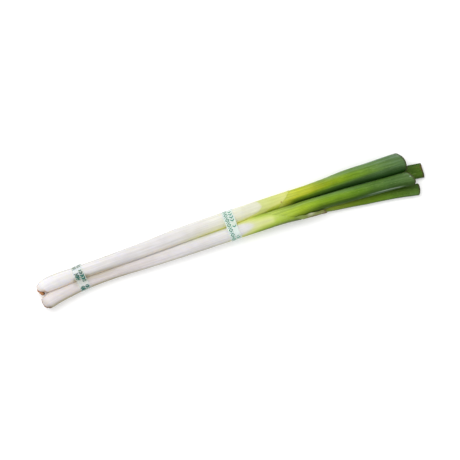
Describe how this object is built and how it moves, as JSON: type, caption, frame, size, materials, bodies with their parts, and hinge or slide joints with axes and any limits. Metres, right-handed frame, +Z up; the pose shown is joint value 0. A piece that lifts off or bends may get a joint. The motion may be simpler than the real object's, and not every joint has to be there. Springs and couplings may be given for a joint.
{
  "type": "spring onion bunch",
  "caption": "Bunch of long trimmed spring onions with white shafts and hollow green cut blades, lying side by side and held by bands of printed plastic tape.",
  "frame": {"origin": "middle of the bunch's length and width, on the surface it lies on", "axes": "+X from the roots to the cut blades, +Y across the bunch towards the onion with the large blade, +Z up"},
  "size_m": [0.5983, 0.0703, 0.0256],
  "materials": {
    "root_plate": "matte",
    "white_sheath": "satin",
    "upper_blade": "satin",
    "lower_blade": "satin",
    "dry_sheath": "matte",
    "tape": "satin"
  },
  "bodies": {
    "root": {"stalk_a_root_plate": "root_plate", "stalk_a_shaft": "white_sheath", "stalk_a_upper_leaf": "upper_blade", "stalk_a_lower_leaf": "lower_blade", "stalk_b_root_plate": "root_plate", "stalk_b_shaft": "white_sheath", "stalk_b_upper_leaf": "upper_blade", "stalk_b_lower_leaf": "lower_blade", "stalk_b_dry_sheath": "dry_sheath", "tape_root_end": "tape", "tape_middle": "tape"}
  },
  "joints": []
}
